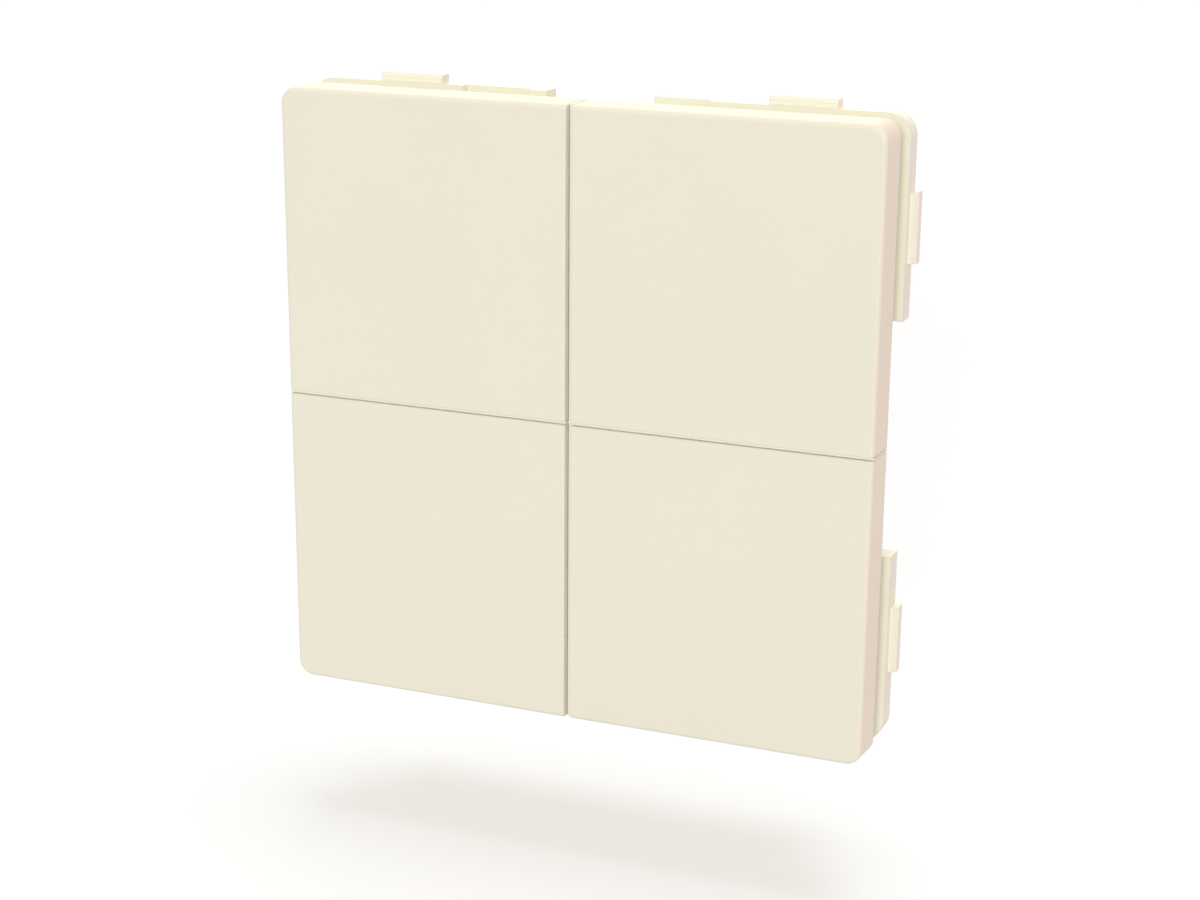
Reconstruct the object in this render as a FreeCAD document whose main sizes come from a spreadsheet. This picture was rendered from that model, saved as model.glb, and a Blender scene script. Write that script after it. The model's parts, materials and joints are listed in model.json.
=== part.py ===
import FreeCAD, Part
import math
import os

import Sketcher

# Four-button wall switch for a 55 mm surround, battery powered.
# X runs to the right and Z up. The front faces -Y, and the back lies in the plane Y = 0.
# A height is a distance from that back plane towards the front.

document = FreeCAD.newDocument("wall_switch")
sheet = document.addObject("Spreadsheet::Sheet", "dim")

# Driving dimensions in millimetres and degrees
driving = {
    # key caps
    "front_size": 55.0,
    "front_height": 16.6,
    "key_gap": 0.5,
    "level_gap": 0.3,
    "key_plate": 1.4,
    "skirt_depth": 3.5,
    "skirt_wall": 1.2,
    "skirt_draft": 0.15,
    "key_corner": 1.4,
    "key_edge_round": 0.4,
    "key_gap_round": 0.1,
    "key_rib": 1.0,
    "key_rib_depth": 1.2,
    "key_rib_start": 6.0,
    "rib_play": 0.4,
    "pusher_radius": 1.3,
    "pusher_dome": 1.04,
    "pusher_play": 0.02,
    # key hinge
    "hinge_offset": 3.2,
    "hinge_drop": 3.2,
    "pin_radius": 0.9,
    "pin_play": 0.05,
    "pin_reach": 1.6,
    "lug_wall": 1.2,
    "lug_half": 1.4,
    "lug_near": 7.0,
    "lug_far": 18.0,
    "bearing_wall": 1.8,
    "bearing_half": 1.6,
    "bearing_top": 1.4,
    "side_play": 0.15,
    # key hook
    "hook_inset": 2.5,
    "hook_width": 4.0,
    "hook_wall": 1.2,
    "hook_catch": 0.7,
    "hook_thick": 0.6,
    "hook_play": 0.03,
    "hook_slot_play": 0.3,
    # key frame
    "shadow_gap": 2.9,
    "flange_size": 55.4,
    "flange_thick": 2.05,
    "flange_corner": 2.0,
    "notch_size": 52.0,
    "notch_wide": 9.7,
    "notch_tall": 20.8,
    "tab_near": 15.2,
    "tab_length": 6.0,
    "tab_proud": 0.7,
    "tab_step": 0.65,
    "tab_lead": 0.3,
    "tab_edge": 0.15,
    "relief_inset": 1.05,
    "relief_width": 0.6,
    "relief_extra": 1.6,
    "step_depth": 0.8,
    "step_width": 1.1,
    "step_left_near": 6.6,
    "step_left_far": 12.8,
    "step_right_far": 9.7,
    "step_slant": 0.7,
    "collar_wall": 1.0,
    "collar_play": 0.3,
    "collar_rise": 4.0,
    "divider_wall": 0.36,
    "level_wall": 0.2,
    "divider_depth": 0.7,
    "level_depth": 0.3,
    "divider_inset": 0.02,
    "divider_rib": 1.0,
    "divider_rib_rise": 4.0,
    "window_radius": 2.3,
    "recess_depth": 1.5,
    "recess_play": 0.3,
    "cut_over": 1.0,
    # rear housing
    "housing_size": 48.0,
    "housing_wall": 1.5,
    "housing_floor": 1.4,
    "housing_corner": 3.0,
    "housing_edge": 0.6,
    "screw_inset": 5.0,
    "pillar_radius": 3.0,
    "boss_radius": 2.4,
    "head_radius": 1.9,
    "head_thick": 1.2,
    "head_sunk": 0.5,
    "head_play": 0.15,
    "shank_radius": 1.0,
    "thread_play": 0.02,
    "shank_play": 0.2,
    "thread_cover": 0.8,
    "thread_spare": 0.2,
    "cross_length": 2.2,
    "cross_width": 0.5,
    "cross_depth": 0.7,
    # battery cover
    "cover_margin": 1.4,
    "cover_play": 0.25,
    "cover_sunk": 0.15,
    "cover_rim": 1.0,
    "cover_edge": 0.2,
    "lug_gap": 0.05,
    "bayonet_thick": 0.7,
    "bayonet_reach": 1.1,
    "bayonet_width": 4.0,
    "bayonet_play": 0.3,
    "bayonet_turn": 30.0,
    "coin_slot_length": 12.0,
    "coin_slot_width": 1.8,
    "coin_slot_depth": 0.7,
    # circuit board and battery
    "board_play": 0.5,
    "board_thick": 1.2,
    "board_corner": 1.5,
    "cell_radius": 10.0,
    "cell_thick": 3.2,
    "cell_lift": 0.1,
    "cell_room": 0.4,
    "cell_cap_radius": 8.8,
    "cell_cap_thick": 0.5,
    "cell_edge": 0.2,
    "cell_play": 0.2,
    "holder_wall": 1.2,
    "holder_clear": 0.15,
    "clip_width": 5.0,
    "clip_thick": 0.2,
    "clip_foot": 3.0,
    "clip_gap": 0.02,
    "clip_slot_play": 0.3,
    "contact_radius": 2.0,
    "contact_length": 12.0,
    "contact_width": 3.0,
    # switches behind the keys
    "switch_size": 6.0,
    "switch_clear": 0.4,
    "hook_clear": 2.4,
    "switch_base_thick": 1.0,
    "switch_cover_thick": 0.3,
    "switch_floor": 0.2,
    "plunger_flange": 1.8,
    "plunger_flange_thick": 0.35,
    "plunger_radius": 1.5,
    "plunger_play": 0.1,
    "plunger_proud": 0.8,
    "plunger_travel": 0.4,
    "ear_width": 1.6,
    "ear_wall": 0.2,
    "ear_drop": 0.8,
    # radio module and small electronics
    "radio_width": 14.0,
    "radio_length": 17.0,
    "radio_thick": 0.6,
    "radio_inset": 2.5,
    "shield_size": 11.4,
    "shield_thick": 1.0,
    "shield_wall": 0.2,
    "shield_inset": 0.8,
    "antenna_length": 6.5,
    "antenna_width": 2.2,
    "antenna_thick": 1.0,
    "antenna_inset": 1.0,
    "crystal_length": 3.2,
    "crystal_width": 1.5,
    "crystal_thick": 0.8,
    "crystal_z": -5.0,
    "capacitor_length": 2.0,
    "capacitor_width": 1.25,
    "capacitor_thick": 0.9,
    "capacitor_pitch": 3.2,
    "capacitor_z": -10.0,
    # pairing switch
    "pairing_inset": 4.5,
    "pairing_size": 4.5,
    "pairing_thick": 1.4,
    "pairing_radius": 1.0,
    "pairing_flange": 1.4,
    "pairing_proud": 0.9,
    "pairing_hole": 1.3,
}

# Sizes and places that follow from the driving dimensions, as formulas
following = {
    "board_size": "=housing_size - 2 * (housing_wall + board_play)",
    "screw_place": "=housing_size / 2 - screw_inset",
    "hook_place": "=housing_size / 2 - housing_wall - hook_inset",
    "switch_x": "=screw_place - boss_radius - switch_clear - ear_wall - switch_size / 2",
    "switch_z": "=hook_place - hook_wall / 2 - hook_clear - switch_size / 2",
    "cover_radius": "=cell_radius + cover_margin",
    "cell_height": "=housing_floor + cell_lift",
    "board_height": "=cell_height + cell_thick + cell_room",
    "radio_low": "=board_size / 2 - radio_inset - radio_length",
    "pairing_z": "=board_size / 2 - pairing_inset",
}
for row, (alias, value) in enumerate({**driving, **following}.items(), start=1):
    sheet.set(f"A{row}", alias.replace("_", " "))
    sheet.set(f"B{row}", str(value))
    sheet.setAlias(f"B{row}", alias)
document.recompute()

# Heights and half sizes that follow from the driving dimensions, as expressions
half_front = "dim.front_size / 2"
plate_back = "dim.front_height - dim.key_plate"
skirt_back = "dim.front_height - dim.skirt_depth"
frame_front = f"{skirt_back} - dim.shadow_gap"
frame_back = f"{frame_front} - dim.flange_thick"
hinge_height = "dim.front_height - dim.hinge_drop"
pilot_high = f"{frame_front} - dim.thread_cover"
board_front = "dim.board_height + dim.board_thick"
base_top = f"{board_front} + dim.switch_base_thick"
cover_top = f"{base_top} + dim.switch_cover_thick"
plunger_top = f"{cover_top} + dim.plunger_proud"
head_low = "dim.head_sunk"
head_high = "dim.head_sunk + dim.head_thick"
cell_high = "dim.cell_height + dim.cell_thick"
holder_low = "dim.housing_floor + dim.lug_gap + dim.bayonet_thick + dim.holder_clear"
hook_outer = "dim.hook_place + dim.hook_wall / 2"
hook_slot_inner = "(dim.hook_place - dim.hook_wall / 2 - dim.hook_slot_play)"
hook_slot_half = "(dim.hook_width / 2 + dim.hook_slot_play)"
collar_outer = f"({half_front} - dim.skirt_wall - dim.collar_play)"
collar_inner = f"({collar_outer} - dim.collar_wall)"

sides = (-1, 1)
key_names = {(-1, 1): "top_left", (1, 1): "top_right", (-1, -1): "bottom_left", (1, -1): "bottom_right"}
screw_places = [
    (f"{sign_x} * dim.screw_place", f"{sign_z} * dim.screw_place")
    for sign_x in sides
    for sign_z in sides
]


def new_body(name):
    body = document.addObject("PartDesign::Body", name)
    body.Label = name
    return body


def new_sketch(body, name, plane, lift):
    """A sketch on one of the body's own origin planes, lifted along its normal."""
    sketch = body.newObject("Sketcher::SketchObject", name)
    support = [item for item in body.Origin.OriginFeatures if item.Role == plane][0]
    sketch.AttachmentSupport = [(support, "")]
    sketch.MapMode = "FlatFace"
    sketch.setExpression("AttachmentOffset.Base.z", lift)
    return sketch


def hold(sketch, kind, edge, place, expression):
    """Bind one constraint to an expression. With no place it is a radius."""
    if place:
        number = sketch.addConstraint(Sketcher.Constraint(kind, edge, place, 1.0))
    else:
        number = sketch.addConstraint(Sketcher.Constraint(kind, edge, 1.0))
    sketch.setExpression(f"Constraints[{number}]", expression)


def draw_polygon(sketch, corners):
    """A closed outline whose corners are pairs of expressions."""
    first = sketch.GeometryCount
    count = len(corners)
    turns = [2 * math.pi * index / count for index in range(count)]
    points = [FreeCAD.Vector(math.cos(turn), math.sin(turn), 0) for turn in turns]
    for index in range(count):
        sketch.addGeometry(Part.LineSegment(points[index], points[(index + 1) % count]), False)
    for index in range(count):
        follower = first + (index + 1) % count
        sketch.addConstraint(Sketcher.Constraint("Coincident", first + index, 2, follower, 1))
    for index, (across, up) in enumerate(corners):
        hold(sketch, "DistanceX", first + index, 1, across)
        hold(sketch, "DistanceY", first + index, 1, up)


def draw_circle(sketch, across, up, radius):
    """A circle whose centre and radius are expressions."""
    edge = sketch.addGeometry(Part.Circle(FreeCAD.Vector(0, 0, 0), FreeCAD.Vector(0, 0, 1), 1), False)
    hold(sketch, "Radius", edge, 0, radius)
    hold(sketch, "DistanceX", edge, 3, across)
    hold(sketch, "DistanceY", edge, 3, up)


def rectangle(left, right, low, high):
    return [(left, low), (right, low), (right, high), (left, high)]


def centred(across, up, width, height):
    return rectangle(
        f"{across} - ({width}) / 2",
        f"{across} + ({width}) / 2",
        f"{up} - ({height}) / 2",
        f"{up} + ({height}) / 2",
    )


def screw_points(radius):
    """A circle of one radius about the axis of each housing screw."""
    return [(*place, radius) for place in screw_places]


def cross_outline(half, reach):
    """A cross about the origin, given by half the width of its arms."""
    corners = []
    for sign_x, sign_z in ((1, 1), (-1, 1), (-1, -1), (1, -1)):
        arm_x = (f"{sign_x} * {reach}", f"{sign_z} * {half}")
        inner = (f"{sign_x} * {half}", f"{sign_z} * {half}")
        arm_z = (f"{sign_x} * {half}", f"{sign_z} * {reach}")
        corners += [arm_x, inner, arm_z] if sign_x == sign_z else [arm_z, inner, arm_x]
    return corners


def draw(sketch, outlines):
    """An outline of three expressions is a circle, and any other is a polygon."""
    for outline in outlines:
        if isinstance(outline, tuple):
            draw_circle(sketch, *outline)
        else:
            draw_polygon(sketch, outline)


def add(body, name, low, high, outlines, plane="XZ_Plane"):
    """Material between two heights."""
    sketch = new_sketch(body, f"{name}_sketch", plane, low)
    draw(sketch, outlines)
    pad = body.newObject("PartDesign::Pad", name)
    pad.Profile = sketch
    pad.Refine = False
    pad.setExpression("Length", f"({high}) - ({low})")
    sketch.Visibility = False
    document.recompute()
    return pad


def remove(body, name, low, high, outlines, plane="XZ_Plane"):
    """A cut between two heights, drawn at the higher one and checked by volume."""
    before = body.Shape.Volume
    sketch = new_sketch(body, f"{name}_sketch", plane, high)
    draw(sketch, outlines)
    pocket = body.newObject("PartDesign::Pocket", name)
    pocket.Profile = sketch
    pocket.Refine = False
    pocket.setExpression("Length", f"({high}) - ({low})")
    sketch.Visibility = False
    document.recompute()
    if body.Shape.Volume >= before:
        raise RuntimeError(f"{body.Label}: {name} cuts nothing")
    return pocket


def finish_edges(body, kind, name, expression, wanted):
    """A fillet or chamfer on each edge that the test function accepts."""
    tip = body.Tip
    edges = [f"Edge{number}" for number, edge in enumerate(tip.Shape.Edges, start=1) if wanted(edge)]
    if not edges:
        raise RuntimeError(f"{body.Label}: {name} finds no edge")
    feature = body.newObject(f"PartDesign::{kind}", name)
    feature.Base = (tip, edges)
    feature.setExpression("Radius" if kind == "Fillet" else "Size", expression)
    document.recompute()
    return feature


def repeat_round(body, name, feature, sketch, count):
    """Copies of a feature about the sketch's normal through the origin."""
    pattern = body.newObject("PartDesign::PolarPattern", name)
    pattern.Originals = [feature]
    pattern.Axis = (sketch, ["N_Axis"])
    pattern.Angle = 360
    pattern.Occurrences = count
    body.Tip = pattern
    document.recompute()
    return pattern


def size(alias):
    return sheet.get(alias)


def middle(edge):
    return edge.valueAt((edge.FirstParameter + edge.LastParameter) / 2)


margin = 0.01  # how far an edge may lie from where it is looked for
depth_axis = FreeCAD.Vector(0, 1, 0)


def near(value, target):
    return abs(value - target) < margin


def along(edge, direction):
    """True for an edge whose ends lie along a direction, give or take a small draft."""
    ends = [vertex.Point for vertex in edge.Vertexes]
    if len(ends) < 2:
        return False
    chord = (ends[1] - ends[0]).normalize()
    return near(abs(chord.dot(direction)), 1)


# Key caps
def make_key(sign_x, sign_z):
    body = new_body(f"key_{key_names[(sign_x, sign_z)]}")
    # the whole square, its walls leaning outwards towards the back, cut down to one quarter
    back_half = f"({half_front} + dim.skirt_draft)"
    square = rectangle(f"-{back_half}", back_half, f"-{back_half}", back_half)
    block = add(body, "block", skirt_back, "dim.front_height", [square])
    block.setExpression("TaperAngle", "-atan(dim.skirt_draft / dim.skirt_depth)")
    beyond = "dim.front_size"
    quarter_x = f"{sign_x} * dim.key_gap / 2"
    quarter_z = f"{sign_z} * dim.level_gap / 2"
    rest = [
        (quarter_x, quarter_z),
        (quarter_x, f"{sign_z} * {beyond}"),
        (f"-{sign_x} * {beyond}", f"{sign_z} * {beyond}"),
        (f"-{sign_x} * {beyond}", f"-{sign_z} * {beyond}"),
        (f"{sign_x} * {beyond}", f"-{sign_z} * {beyond}"),
        (f"{sign_x} * {beyond}", quarter_z),
    ]
    remove(body, "quarter", skirt_back, "dim.front_height", [rest])

    outer = size("front_size") / 2
    front = -size("front_height")

    def outer_corner(edge):
        point = middle(edge)
        return along(edge, depth_axis) and min(abs(point.x), abs(point.z)) > outer - margin

    finish_edges(body, "Fillet", "corner_round", "dim.key_corner", outer_corner)

    def front_rim(edge):
        point = middle(edge)
        return near(point.y, front) and max(abs(point.x), abs(point.z)) > outer - size("key_corner")

    finish_edges(body, "Fillet", "front_round", "dim.key_edge_round", front_rim)

    def gap_rim(edge):
        point = middle(edge)
        beside = near(abs(point.x), size("key_gap") / 2) or near(abs(point.z), size("level_gap") / 2)
        return near(point.y, front) and beside

    finish_edges(body, "Fillet", "gap_round", "dim.key_gap_round", gap_rim)

    wall = f"({half_front} - dim.skirt_wall)"
    hollow = rectangle("0", f"{sign_x} * {wall}", "0", f"{sign_z} * {wall}")
    remove(body, "hollow", skirt_back, plate_back, [hollow])

    switch_x = f"{sign_x} * dim.switch_x"
    switch_z = f"{sign_z} * dim.switch_z"
    rib_low = f"{plate_back} - dim.key_rib_depth"
    rib_far = f"({collar_inner} - dim.rib_play)"
    rib_z = rectangle(
        f"{switch_x} - dim.key_rib / 2",
        f"{switch_x} + dim.key_rib / 2",
        f"{sign_z} * dim.key_rib_start",
        f"{sign_z} * {rib_far}",
    )
    rib_x = rectangle(
        f"{sign_x} * dim.divider_rib",
        f"{sign_x} * {rib_far}",
        f"{switch_z} - dim.key_rib / 2",
        f"{switch_z} + dim.key_rib / 2",
    )
    add(body, "upright_rib", rib_low, plate_back, [rib_z])
    add(body, "level_rib", rib_low, plate_back, [rib_x])
    pusher_end = f"{plunger_top} + dim.pusher_play"
    pusher = add(body, "pusher", pusher_end, plate_back, [(switch_x, switch_z, "dim.pusher_radius")])
    tip = pusher.Length.Value + size("key_plate") - size("front_height")
    finish_edges(body, "Fillet", "pusher_dome", "dim.pusher_dome", lambda edge: near(middle(edge).y, tip))

    hinge_z = f"{sign_z} * dim.hinge_offset"
    lug_low = f"{hinge_height} - dim.lug_half"
    for name, start, pin_start in (
        ("near", "dim.lug_near", "dim.lug_near - dim.pin_reach"),
        ("far", "dim.lug_far", "dim.lug_far + dim.lug_wall"),
    ):
        lug = rectangle(
            f"{sign_x} * {start}",
            f"{sign_x} * ({start} + dim.lug_wall)",
            f"{hinge_z} - dim.lug_half",
            f"{hinge_z} + dim.lug_half",
        )
        add(body, f"{name}_lug", lug_low, plate_back, [lug])
        ends = (f"{sign_x} * ({pin_start})", f"{sign_x} * ({pin_start} + dim.pin_reach)")
        low, high = ends if sign_x > 0 else ends[::-1]
        pin = (f"-({hinge_height})", hinge_z, "dim.pin_radius")
        add(body, f"{name}_pin", low, high, [pin], "YZ_Plane")

    arm = centred(switch_x, f"{sign_z} * dim.hook_place", "dim.hook_width", "dim.hook_wall")
    hook_high = f"{frame_back} - dim.hook_play"
    hook_low = f"{hook_high} - dim.hook_thick"
    add(body, "hook_arm", hook_low, plate_back, [arm])
    catch = rectangle(
        f"{switch_x} - dim.hook_width / 2",
        f"{switch_x} + dim.hook_width / 2",
        f"{sign_z} * dim.hook_place",
        f"{sign_z} * ({hook_outer} + dim.hook_catch)",
    )
    add(body, "hook_catch", hook_low, hook_high, [catch])
    return body


# Frame that carries the keys, with the snap flange
def flange_outline():
    """The square flange with a notch in the middle of each side."""
    outer = "dim.flange_size / 2"
    inner = "dim.notch_size / 2"
    wide = "dim.notch_wide / 2"
    tall = "dim.notch_tall / 2"
    quarter = [(outer, tall), (outer, outer), (wide, outer), (wide, inner)]
    corners = [(inner, f"-{tall}"), (inner, tall)]
    corners += quarter
    corners += [(f"-{x}", z) for x, z in reversed(quarter)]
    corners += [(f"-{inner}", tall), (f"-{inner}", f"-{tall}")]
    corners += [(f"-{x}", f"-{z}") for x, z in quarter]
    corners += [(x, f"-{z}") for x, z in reversed(quarter)]
    return corners


def on_each_side(low, high, start, stop):
    """Rectangles on all four sides, given outwards from low to high and along from start to stop."""
    outlines = []
    for outward in sides:
        for sideways in sides:
            along_low, along_high = f"{sideways} * ({start})", f"{sideways} * ({stop})"
            out_low, out_high = f"{outward} * ({low})", f"{outward} * ({high})"
            outlines.append(rectangle(along_low, along_high, out_low, out_high))
            outlines.append(rectangle(out_low, out_high, along_low, along_high))
    return outlines


def blade_outline(depth):
    """A blade seen from its side, its ends just inside the leaning skirts of the keys."""
    front_half = f"({half_front} + dim.skirt_draft * {depth} / dim.skirt_depth - dim.divider_inset)"
    back_half = f"({half_front} + dim.skirt_draft - dim.divider_inset)"
    front = f"dim.front_height - {depth}"
    back_corners = [(f"-{back_half}", skirt_back), (back_half, skirt_back)]
    return back_corners + [(front_half, front), (f"-{front_half}", front)]


def make_key_frame():
    body = new_body("key_frame")
    add(body, "plate", frame_back, frame_front, [flange_outline()])
    outer = size("flange_size") / 2

    def flange_corner(edge):
        point = middle(edge)
        return along(edge, depth_axis) and near(abs(point.x), outer) and near(abs(point.z), outer)

    finish_edges(body, "Fillet", "flange_corners", "dim.flange_corner", flange_corner)

    # snap tabs, a step behind the flange front, with a lead-in at their front
    tab_stop = "dim.tab_near + dim.tab_length"
    tab_outer = "dim.flange_size / 2 + dim.tab_proud"
    root = "dim.flange_size / 2 - dim.relief_inset / 2"
    tabs = on_each_side(root, tab_outer, "dim.tab_near", tab_stop)
    add(body, "tabs", frame_back, f"{frame_front} - dim.tab_step", tabs)
    tab_face = outer + size("tab_proud")
    back = -(size("front_height") - size("skirt_depth") - size("shadow_gap") - size("flange_thick"))
    tab_front = back - size("flange_thick") + size("tab_step")

    def tab_rim(edge, depth):
        point = middle(edge)
        outermost = near(abs(point.x), tab_face) or near(abs(point.z), tab_face)
        return outermost and near(point.y, depth)

    finish_edges(body, "Chamfer", "tab_lead_in", "dim.tab_lead", lambda edge: tab_rim(edge, tab_front))
    finish_edges(body, "Fillet", "tab_back_round", "dim.tab_edge", lambda edge: tab_rim(edge, back))

    # slots behind the tabs, which let them spring inwards
    relief_high = "dim.flange_size / 2 - dim.relief_inset"
    relief_low = f"{relief_high} - dim.relief_width"
    slots = on_each_side(
        relief_low,
        relief_high,
        "dim.tab_near - dim.relief_extra",
        f"{tab_stop} + dim.relief_extra",
    )
    remove(body, "relief_slots", frame_back, frame_front, slots)

    # open steps in the flange front near the inner ends of the upper and lower sections
    edge_out = "(dim.flange_size / 2 + dim.cut_over)"
    edge_in = "(dim.flange_size / 2 - dim.step_width)"
    step_start = "dim.notch_wide / 2 - dim.cut_over"
    steps = []
    for sign in sides:
        steps.append(rectangle(
            "-dim.step_left_far", "-dim.step_left_near", f"{sign} * {edge_in}", f"{sign} * {edge_out}",
        ))
        steps.append([
            (step_start, f"{sign} * {edge_in}"),
            ("dim.step_right_far", f"{sign} * {edge_in}"),
            ("dim.step_right_far + dim.step_slant", f"{sign} * {edge_out}"),
            (step_start, f"{sign} * {edge_out}"),
        ])
    remove(body, "front_steps", f"{frame_front} - dim.step_depth", frame_front, steps)

    # collar inside the skirts of the keys
    ring = [
        rectangle(f"-{half}", half, f"-{half}", half) for half in (collar_outer, collar_inner)
    ]
    add(body, "collar", frame_front, f"{frame_front} + dim.collar_rise", ring)

    # cross-shaped divider: a stout rib under the key plates and a thin blade in each gap
    rib_end = f"({collar_inner} + dim.collar_wall / 2)"
    rib_top = f"{frame_front} + dim.divider_rib_rise"
    add(body, "divider_rib", frame_front, rib_top, [cross_outline("(dim.divider_rib / 2)", rib_end)])
    upright = [(f"-({height})", half) for half, height in blade_outline("dim.divider_depth")]
    add(body, "upright_blade", "-dim.divider_wall / 2", "dim.divider_wall / 2", [upright], "YZ_Plane")
    level = [(half, f"-({height})") for half, height in blade_outline("dim.level_depth")]
    add(body, "level_blade", "-dim.level_wall / 2", "dim.level_wall / 2", [level], "XY_Plane")

    # the upright gap runs on through the crossing, so the level blade stops at its sides
    crossing = centred("0", "0", "dim.key_gap", "2 * dim.level_wall")
    remove(body, "crossing", "dim.front_height - dim.divider_depth", "dim.front_height", [crossing])

    # bearing blocks for the hinge pins
    bearing_high = f"{hinge_height} + dim.bearing_top"
    near_start = "(dim.lug_near - dim.side_play - dim.bearing_wall)"
    far_start = "(dim.lug_far + dim.lug_wall + dim.side_play)"
    blocks = []
    holes = []
    for sign_z in sides:
        hinge_z = f"{sign_z} * dim.hinge_offset"
        holes.append((f"-({hinge_height})", hinge_z, "dim.pin_radius + dim.pin_play"))
        for sign_x in sides:
            for start in (near_start, far_start):
                blocks.append(rectangle(
                    f"{sign_x} * {start}",
                    f"{sign_x} * ({start} + dim.bearing_wall)",
                    f"{hinge_z} - dim.bearing_half",
                    f"{hinge_z} + dim.bearing_half",
                ))
    add(body, "bearing_blocks", frame_front, bearing_high, blocks)
    bearing_end = f"({far_start} + dim.bearing_wall + dim.side_play)"
    bearing_begin = f"({near_start} - dim.side_play)"
    remove(body, "right_bearings", bearing_begin, bearing_end, holes, "YZ_Plane")
    remove(body, "left_bearings", f"-{bearing_end}", f"-{bearing_begin}", holes, "YZ_Plane")

    # windows for the pushers, slots for the key hooks and bosses for the screws
    windows = []
    hook_slots = []
    for sign_x in sides:
        for sign_z in sides:
            switch_x = f"{sign_x} * dim.switch_x"
            windows.append((switch_x, f"{sign_z} * dim.switch_z", "dim.window_radius"))
            hook_slots.append(rectangle(
                f"{switch_x} - {hook_slot_half}",
                f"{switch_x} + {hook_slot_half}",
                f"{sign_z} * {hook_slot_inner}",
                f"{sign_z} * ({hook_outer} + dim.hook_slot_play)",
            ))
    remove(body, "pusher_windows", frame_back, frame_front, windows)
    remove(body, "hook_slots", frame_back, frame_front, hook_slots)
    add(body, "screw_bosses", board_front, frame_back, screw_points("dim.boss_radius"))
    pilots = screw_points("dim.shank_radius + dim.thread_play")
    remove(body, "pilot_holes", board_front, pilot_high, pilots)

    # recesses in its back over the switches, the radio module and the small electronics
    switch_room = "dim.switch_size + 2 * (dim.ear_wall + dim.recess_play)"
    recesses = [
        centred(f"{sign_x} * dim.switch_x", f"{sign_z} * dim.switch_z", switch_room, switch_room)
        for sign_x in sides
        for sign_z in sides
    ]
    radio_half = "(dim.radio_width / 2 + dim.recess_play)"
    recesses.append(rectangle(
        f"-{radio_half}",
        radio_half,
        "dim.radio_low - dim.recess_play",
        "dim.radio_low + dim.radio_length + dim.recess_play",
    ))
    small_half = "(dim.capacitor_pitch + dim.capacitor_width / 2 + dim.recess_play)"
    recesses.append(rectangle(
        f"-{small_half}",
        small_half,
        "dim.capacitor_z - dim.capacitor_length / 2 - dim.recess_play",
        "dim.crystal_z + dim.crystal_width / 2 + dim.recess_play",
    ))
    remove(body, "back_recesses", frame_back, f"{frame_back} + dim.recess_depth", recesses)
    return body


# Rear housing and its battery cover
def bayonet_outline(inner, outer, half_width, turn):
    """A lug or its notch, reaching outwards along a direction given in degrees."""
    corners = []
    for reach, side in ((inner, -1), (outer, -1), (outer, 1), (inner, 1)):
        across = f"({reach}) * cos({turn}) - ({side} * ({half_width})) * sin({turn})"
        up = f"({reach}) * sin({turn}) + ({side} * ({half_width})) * cos({turn})"
        corners.append((across, up))
    return corners


lug_count = 3
lug_start = "90 deg"
notch_start = "(90 - dim.bayonet_turn) * 1 deg"


def make_rear_housing():
    body = new_body("rear_housing")
    half = "dim.housing_size / 2"
    inner = f"({half} - dim.housing_wall)"
    add(body, "shell", "0", frame_back, [rectangle(f"-{half}", half, f"-{half}", half)])
    outer = size("housing_size") / 2

    def upright_corner(edge):
        point = middle(edge)
        return along(edge, depth_axis) and near(abs(point.x), outer) and near(abs(point.z), outer)

    finish_edges(body, "Fillet", "corners", "dim.housing_corner", upright_corner)
    finish_edges(body, "Fillet", "back_edge", "dim.housing_edge", lambda edge: near(middle(edge).y, 0))
    room = rectangle(f"-{inner}", inner, f"-{inner}", inner)
    remove(body, "room", "dim.housing_floor", frame_back, [room])
    inside = outer - size("housing_wall")

    def room_corner(edge):
        point = middle(edge)
        return along(edge, depth_axis) and near(abs(point.x), inside) and near(abs(point.z), inside)

    finish_edges(body, "Fillet", "room_corners", "dim.housing_corner - dim.housing_wall", room_corner)
    add(body, "pillars", "dim.housing_floor", "dim.board_height", screw_points("dim.pillar_radius"))
    remove(body, "head_wells", "0", head_high, screw_points("dim.head_radius + dim.head_play"))
    screw_holes = screw_points("dim.shank_radius + dim.shank_play")
    remove(body, "screw_holes", head_high, "dim.board_height", screw_holes)
    opening = ("0", "0", "dim.cover_radius + dim.cover_play")
    remove(body, "battery_opening", "0", "dim.housing_floor", [opening])
    notch = bayonet_outline(
        "dim.cover_radius - dim.cover_rim",
        "dim.cover_radius + dim.bayonet_reach + dim.bayonet_play",
        "dim.bayonet_width / 2 + dim.bayonet_play",
        notch_start,
    )
    notch_cut = remove(body, "bayonet_notch", "0", "dim.housing_floor", [notch])
    repeat_round(body, "bayonet_notches", notch_cut, notch_cut.Profile[0], lug_count)
    hole = ("0", "-dim.pairing_z", "dim.pairing_hole")
    remove(body, "pairing_hole", "0", "dim.housing_floor", [hole])
    return body


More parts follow.
